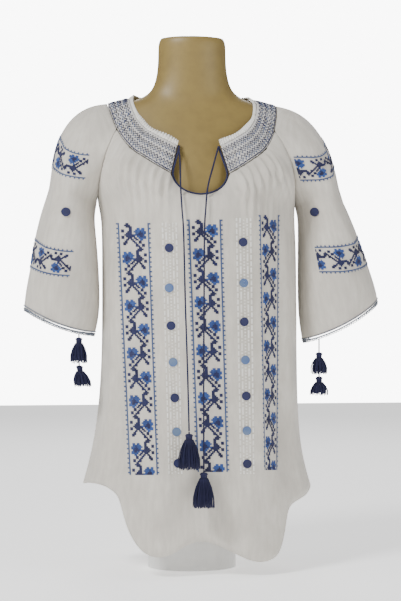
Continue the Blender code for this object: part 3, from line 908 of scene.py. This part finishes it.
# Each cuff's last section and the one before it: outer x, outer z, inner x, inner z, half depth, droop
cuffs = {
    "left": [(-250, 389, -146, 351, 50, 8), (-246, 421, -139, 392, 62, 4)],
    "right": [(282, 400, 169, 340, 50, 6), (275, 428, 163, 384, 62, 3)],
    "rounds": 90,
    "off": 2.3,  # the crochet's middle line stands this far under the cloth's edge
    "crochet": 1.5,
    "scallop": 4.2,
    "arches": (0.8, 2.6),
    "scallopThread": 0.9,
    "stitchUp": 1.2,  # the line of stitches above the crochet
    "stitchThread": 0.8,
    "seat": 0.5,
}


def cuffPoint(section, share):
    outerX, outerZ, innerX, innerZ, halfDeep, droop = section
    turn = 2 * math.pi * share
    outer = math.sin(turn / 2) ** 2
    return metres(mix(innerX, outerX, outer), -halfDeep * math.sin(turn),
                  mix(innerZ, outerZ, outer) - droop * math.sin(turn) ** 2)


def makeCuff(side):
    last, before = cuffs[side]
    rim = [cuffPoint(last, step / cuffs["rounds"]) for step in range(cuffs["rounds"] + 1)]
    high = [cuffPoint(before, step / cuffs["rounds"]) for step in range(cuffs["rounds"] + 1)]
    down = (sum(rim, Vector()) - sum(high, Vector())).normalized()
    line = [spot + down * cuffs["off"] * mm for spot in rim]
    twistedCord(side + "CuffCrochet", evenPoints(line, 1.5 * mm), cuffs["crochet"] * mm, 3, 6 * mm, "grey",
                [side + "_cuff_edging"])
    tree = surfaceOf(cloth[side])
    reach, width = cuffs["arches"]
    arches = scallops(line, cuffs["scallop"] * mm, reach * mm, width * mm, lambda spot: down, 0.2 * mm, tree)
    twistedCord(side + "CuffScallops", arches, cuffs["scallopThread"] * mm, 1, 3 * mm, "grey")
    middle = sum(rim, Vector()) / len(rim)
    seat = cuffs["seat"] * mm
    chain = []
    for spot in rim:
        spot = spot - down * cuffs["stitchUp"] * mm
        outside = keepOff(tree, spot + (spot - middle).normalized() * 3 * mm, seat)
        chain.append(restOn(tree, outside, seat))
    twistedCord(side + "CuffStitch", evenPoints(chain, 1.5 * mm), cuffs["stitchThread"] * mm, 2, 4 * mm, "paleBlue")


makeCuff("left")
makeCuff("right")
print("cuffs edged")

# Counted stitches: # is navy, o is blue, - is the border thread, w is white and . is bare cloth
stitching = {
    "cell": 1.6,  # pixels of the photograph to a stitch
    "low": 0.35,  # how far a stitch stands off the cloth at its rim, and at its middle
    "tall": 0.85,
    "inset": 0.24,
    "letters": "#o-w",
    "threads": "navy blue line white",
    "repeat": """
        ...##...........
        ..####..........
        ...####.........
        .....##...oo.oo.
        ##...##..oooooo.
        ##..###.oooo#ooo
        ...####..oo###oo
        ..######oo####o.
        ##.######.oo##oo
        ##..###.##.ooooo
        ...##.##.##.oo..
        ..##...##..##...
        .###....##.##...
        .##......##..##.
        .........###.##.
    """.split(),
    "net": """
        w.w...w.w
        w.w.w.w.w
        ..w...w..
        w...w...w
        w.w...w.w
        w...w...w
        ..w...w..
        w.w.w.w.w
    """.split(),
    # the bands on the front, by pixels: left and right side and top, then the same at the bottom
    "floral": [(116, 150.5, 223, 128.3, 159.4, 475), (186.5, 222.5, 219.5, 196, 229.4, 472),
               (258.5, 279.5, 215, 264, 277.5, 470)],
    "white": [(161.7, 177.2, 222.5, 168.5, 182.5, 474), (235.6, 251.4, 218, 240, 254.5, 474)],
    # the bands round a sleeve: the heights of their two sides at its outer side, then at its front
    "left": [(600, 648, 574, 612), (448, 492, 432, 472)],
    "right": [(611, 652, 574, 612), (455, 498, 438, 480)],
    "reach": {"left": 90, "right": 112},  # degrees each way from the sleeve's outer side
    "rowsToDegree": 1.02,
    "from": 0.25,  # stitches are laid on a sleeve from this far outside, in metres
}


def floralChart(rows, flip=False):
    # the vine and then its mirror image, between two toothed borders
    half = stitching["repeat"]
    whole = half + [row[::-1] for row in half]
    first = len(half) if flip else 0
    chart = []
    for index in range(rows):
        tooth = "-" if index % 3 == 0 else "."
        vine = whole[(index + first) % len(whole)]
        chart.append(tooth + "-." + vine + ".-" + tooth)
    return chart


def stitch(name, chart, place):
    # place(across, down, lift) gives a point of the cloth, counted in stitches from the chart's first one
    columns, rows = len(chart[0]), len(chart)
    bm = bmesh.new()
    bmesh.ops.create_grid(bm, x_segments=columns, y_segments=rows, size=1)
    bmesh.ops.scale(bm, verts=bm.verts, vec=(columns / 2, rows / 2, 1))
    bmesh.ops.translate(bm, verts=bm.verts, vec=(columns / 2, -rows / 2, 0))
    bare = []
    for face in bm.faces:
        middle = face.calc_center_median()
        letter = chart[min(int(-middle.y), rows - 1)][min(int(middle.x), columns - 1)]
        if letter == ".":
            bare.append(face)
        else:
            face.material_index = stitching["letters"].index(letter)
    bmesh.ops.delete(bm, geom=bare, context="FACES")
    bmesh.ops.inset_individual(bm, faces=bm.faces[:], thickness=stitching["inset"], depth=1)
    missed = []
    for vert in bm.verts:
        lift = stitching["tall"] if vert.co.z > 0.5 else stitching["low"]
        spot = place(vert.co.x, -vert.co.y, lift * mm)
        if spot is None:
            missed.append(vert)
        else:
            vert.co = spot
    bmesh.ops.delete(bm, geom=missed, context="VERTS")
    bm.normal_update()
    middle = place(columns / 2, rows / 2, 0)
    out = place(columns / 2, rows / 2, 0.01) - middle
    near = min(bm.faces, key=lambda face: (face.calc_center_median() - middle).length)
    if near.normal.dot(out) < 0:
        bmesh.ops.reverse_faces(bm, faces=bm.faces[:])
    piece = addPiece(name, finishMesh(bm, name, smooth=False), stitching["threads"])
    print(name, "stitched,", len(piece.data.polygons), "faces")
    return piece


def onFront(px, py, lift):
    return castOn(frontTree, *pictureRay(px, py), lift)


def frontBand(name, chart, sides):
    leftTop, rightTop, top, leftLow, rightLow, low = sides

    def place(across, down, lift):
        share = down / len(chart)
        px = mix(mix(leftTop, leftLow, share), mix(rightTop, rightLow, share), across / len(chart[0]))
        return onFront(px, mix(top, low, share), lift)

    return stitch(name, chart, place)


def embroiderFront():
    made = []
    for number, sides in enumerate(stitching["floral"]):
        rows = round((sides[5] - sides[2]) / stitching["cell"])
        made.append(frontBand(f"frontFlowers{number}", floralChart(rows), sides))
    for number, sides in enumerate(stitching["white"]):
        rows = round((sides[5] - sides[2]) / stitching["cell"])
        net = stitching["net"]
        chart = [net[row % len(net)] for row in range(rows)]
        made.append(frontBand(f"frontWhitework{number}", chart, sides))
    return made


def embroiderSleeve(name):
    top, low = sleeves[name]["top"], sleeves[name]["low"]
    side, reach = sleeves[name]["side"], stitching["reach"][name]
    tree = surfaceOf(cloth[name])
    made = []
    for number, (lowOuter, highOuter, lowFront, highFront) in enumerate(stitching[name]):
        chart = floralChart(round(reach * stitching["rowsToDegree"]), flip=number == 1)
        columns = len(chart[0])

        def place(across, down, lift):
            turn = math.radians(mix(-reach, reach, down / len(chart)))
            bend = math.sin(min(abs(turn), math.pi / 2)) ** 1.5
            share = across / columns
            height = mix(mix(highOuter, lowOuter, share), mix(highFront, lowFront, share), bend)
            axisX = mix(low[0], top[0], (height - low[2]) / (top[2] - low[2]))
            inward = Vector((-side * math.cos(turn), math.sin(turn), 0))
            return castOn(tree, metres(axisX, 0, height) - inward * stitching["from"], inward, lift)

        made.append(stitch(f"{name}SleeveFlowers{number}", chart, place))
    return made


dots = {
    "across": 4.5,  # half its width, in pixels
    "off": 1.4,  # how far its rim stands off the cloth, in millimetres
    "tall": 1.5,
    "rings": (0.12, 0.2, 0.25, 0.25),  # how far in each ring lies from the one before
    "navy": [(169.4, 247.8), (171.2, 325.6), (174.8, 397.8), (177.9, 463.3), (242.8, 242.2), (243.9, 321.8),
             (245.9, 396), (247, 463.8)],
    "paleBlue": [(169.4, 287.8), (173.2, 362.2), (176.6, 431.8), (243.4, 282.9), (245, 360), (246.6, 430.7)],
    "sleeves": [(66, 212, "left"), (315, 212, "right")],
}


def satinDot(bm, px, py, tree):
    made = bmesh.ops.create_circle(bm, cap_ends=True, segments=16, radius=1)["verts"]
    face = list({face for vert in made for face in vert.link_faces})
    made = set(made)
    for thickness in dots["rings"]:
        ring = bmesh.ops.inset_region(bm, faces=face, thickness=thickness)["faces"]
        made |= {vert for part in ring for vert in part.verts}
    for vert in made:
        reach = min(vert.co.xy.length, 1)
        lift = (dots["off"] + dots["tall"] * math.sqrt(1 - reach * reach * 0.99)) * mm
        x, y = vert.co.x * dots["across"], vert.co.y * dots["across"]
        vert.co = castOn(tree, *pictureRay(px + x, py - y), lift)


def makeDots():
    made = []
    for thread in ("navy", "paleBlue"):
        bm = bmesh.new()
        for px, py in dots[thread]:
            satinDot(bm, px, py, frontTree)
        made.append(addPiece(thread + "Dots", finishMesh(bm, thread + "Dots"), thread))
    for px, py, name in dots["sleeves"]:
        bm = bmesh.new()
        satinDot(bm, px, py, surfaceOf(cloth[name]))
        made.append(addPiece(name + "SleeveDot", finishMesh(bm, name + "SleeveDot"), "navy"))
    return made


frontStitches = embroiderFront()
sleeveStitches = {name: embroiderSleeve(name) for name in ("left", "right")}
dotPieces = makeDots()
print("embroidered")


def declareCloth():
    named = bpy.data.objects
    trim = {
        "front": frontStitches + dotPieces[:2] + [named["keyholeScallops"], named["keyholeWhiteScallops"]],
        "back": [],
        "band": bandTrim,
    }
    for index, side in enumerate(("left", "right")):
        trim[side] = sleeveStitches[side] + [dotPieces[2 + index]]
        trim[side] += [named[side + "CuffScallops"], named[side + "CuffStitch"]]


declareCloth()

studio = {
    "floor": 8,
    "floorGlow": 0.9,
    # each light: its place, what it points at, its size and its power
    "lights": {
        "keyLight": ((-1.6, -1.5, 2.4), (0, 0, 0.45), 0.8, 84),
        "fillLight": ((2.0, -2.0, 1.0), (0, 0, 0.4), 1.6, 22),
        "rimLight": ((0.3, 2.2, 1.9), (0, 0, 0.5), 1.4, 24),
    },
    "lit": 0.27,  # how strongly the backdrop lights the cloth
    "seen": 9.0,  # and how bright it looks
}


def addFloor():
    bpy.ops.mesh.primitive_plane_add(size=studio["floor"])
    floor = bpy.context.object
    floor.name = "studioFloor"
    material, _, shader = newMaterial("paleFloor", roughness=0.9)
    shader.inputs["Base Color"].default_value = (*paint["floor"], 1)
    shader.inputs["Emission Color"].default_value = (1, 1, 1, 1)
    shader.inputs["Emission Strength"].default_value = studio["floorGlow"]
    floor.data.materials.append(material)


def addLight(name, place, target, size, power):
    lamp = bpy.data.lights.new(name, "AREA")
    lamp.shape = "DISK"
    lamp.size = size
    lamp.energy = power
    holder = bpy.data.objects.new(name, lamp)
    holder.location = place
    holder.rotation_euler = (Vector(target) - Vector(place)).to_track_quat("-Z", "Y").to_euler()
    bpy.context.collection.objects.link(holder)


def addBackdrop():
    # it shows white, and lights the cloth softly enough for its folds to read
    world = bpy.data.worlds.new("studio")
    world.use_nodes = True
    tree = world.node_tree
    sky = tree.nodes["Background"]
    sky.inputs["Color"].default_value = (1, 1, 1, 1)
    seen = addNode(tree, "ShaderNodeLightPath")
    power = addNode(tree, "ShaderNodeMapRange", {
        0: seen.outputs["Is Camera Ray"], 3: studio["lit"], 4: studio["seen"]})
    tree.links.new(power.outputs[0], sky.inputs["Strength"])
    bpy.context.scene.world = world


addFloor()
for name, values in studio["lights"].items():
    addLight(name, *values)
addBackdrop()
print("studio lit")
